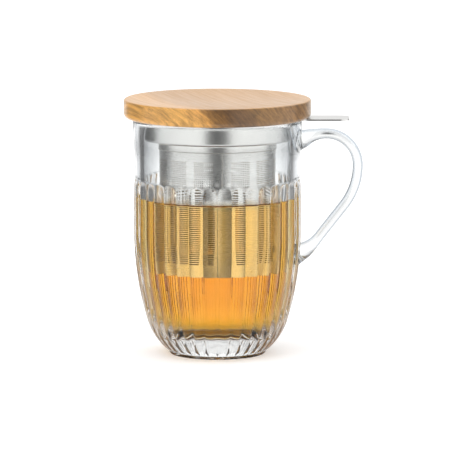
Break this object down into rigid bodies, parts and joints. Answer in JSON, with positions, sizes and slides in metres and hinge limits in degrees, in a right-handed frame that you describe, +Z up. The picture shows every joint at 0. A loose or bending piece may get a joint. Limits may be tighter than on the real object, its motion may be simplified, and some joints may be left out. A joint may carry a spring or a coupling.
{
  "type": "lidded tea mug with infuser",
  "caption": "Reeded glass tea mug with an applied handle, a perforated steel infuser that lifts out by a side tab, and a loose wooden lid with a plug.",
  "frame": {"origin": "centre of the ring that the mug stands on, at the table", "axes": "+Z up along the mug's axis, +X towards the handle and the infuser's tab"},
  "size_m": [0.1204, 0.0942, 0.1292],
  "materials": {
    "mug_glass": "clear, fire-polished, pressed reeds",
    "handle_glass": "clear, fire-polished",
    "rim_steel": "satin stainless sheet",
    "collar_steel": "satin stainless sheet, brushed round",
    "sleeve_steel": "satin stainless sheet with fine perforation",
    "base_steel": "satin stainless sheet",
    "lid_wood": "oiled hardwood with a streaked grain",
    "seal_rubber": "soft translucent white"
  },
  "bodies": {
    "mug": {"mug_body": "mug_glass", "mug_handle": "handle_glass"},
    "infuser": {"infuser_rim": "rim_steel", "infuser_collar": "collar_steel", "infuser_sleeve": "sleeve_steel", "infuser_base": "base_steel"},
    "lid": {"lid_disc": "lid_wood", "lid_plug": "lid_wood", "lid_seal": "seal_rubber"}
  },
  "joints": [
    {"name": "infuser_lift", "type": "slide", "parent": "mug", "child": "infuser", "axis": [0, 0, 1], "range_m": [0, 0.11]},
    {"name": "lid_lift", "type": "slide", "parent": "infuser", "child": "lid", "axis": [0, 0, 1], "range_m": [0, 0.05]}
  ]
}
